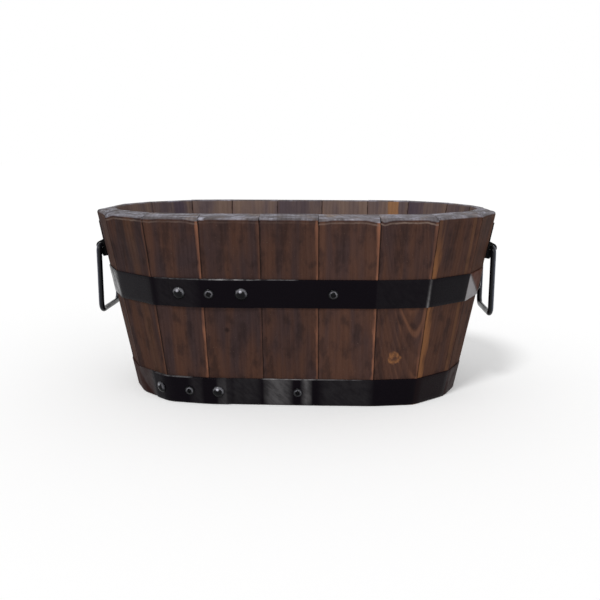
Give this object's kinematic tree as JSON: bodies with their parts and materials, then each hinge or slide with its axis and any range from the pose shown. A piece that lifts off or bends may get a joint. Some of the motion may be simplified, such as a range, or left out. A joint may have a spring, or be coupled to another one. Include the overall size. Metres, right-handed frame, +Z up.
{
  "type": "wooden barrel planter",
  "caption": "Oval wooden tub planter of leaning staves held by riveted steel hoops, with a boarded base with drain holes and swinging bail handles at the ends.",
  "frame": {"origin": "on the floor under the middle of the tub", "axes": "+Z up, X along the tub's length from handle to handle, -Y out of the long side that has the hoop laps"},
  "size_m": [0.4414, 0.267, 0.202],
  "materials": {
    "stained_wood": "dark brown stained softwood with a satin sheen, worn paler along its edges",
    "base_wood": "thinly stained sawn softwood",
    "dowel_wood": "bare turned hardwood",
    "hoop_steel": "semi-gloss black enamel on strap steel",
    "fastener_steel": "gloss black enamel",
    "bracket_steel": "semi-gloss black enamel on pressed sheet steel",
    "handle_steel": "gloss black enamel on bent rod"
  },
  "bodies": {
    "tub": {"stave_01": "stained_wood", "stave_02": "stained_wood", "stave_03": "stained_wood", "stave_04": "stained_wood", "stave_05": "stained_wood", "stave_06": "stained_wood", "stave_07": "stained_wood", "stave_08": "stained_wood", "stave_09": "stained_wood", "stave_10": "stained_wood", "stave_11": "stained_wood", "stave_12": "stained_wood", "stave_13": "stained_wood", "stave_14": "stained_wood", "stave_15": "stained_wood", "stave_16": "stained_wood", "stave_17": "stained_wood", "stave_18": "stained_wood", "stave_19": "stained_wood", "stave_20": "stained_wood", "base_board_1": "base_wood", "base_board_2": "base_wood", "base_board_3": "base_wood", "base_dowels": "dowel_wood", "middle_hoop": "hoop_steel", "middle_hoop_rivets": "fastener_steel", "middle_hoop_screws": "fastener_steel", "bottom_hoop": "hoop_steel", "bottom_hoop_rivets": "fastener_steel", "bottom_hoop_screws": "fastener_steel", "left_bracket": "bracket_steel", "left_bracket_screws": "fastener_steel", "right_bracket": "bracket_steel", "right_bracket_screws": "fastener_steel"},
    "left_handle": {"left_handle": "handle_steel"},
    "right_handle": {"right_handle": "handle_steel"}
  },
  "joints": [
    {"name": "left_handle_swing", "type": "hinge", "parent": "tub", "child": "left_handle", "pos_m": [-0.21584, 0, 0.1592], "axis": [0, 1, 0], "range_deg": [-12, 170]},
    {"name": "right_handle_swing", "type": "hinge", "parent": "tub", "child": "right_handle", "pos_m": [0.21584, 0, 0.1592], "axis": [0, -1, 0], "range_deg": [-12, 170]}
  ]
}
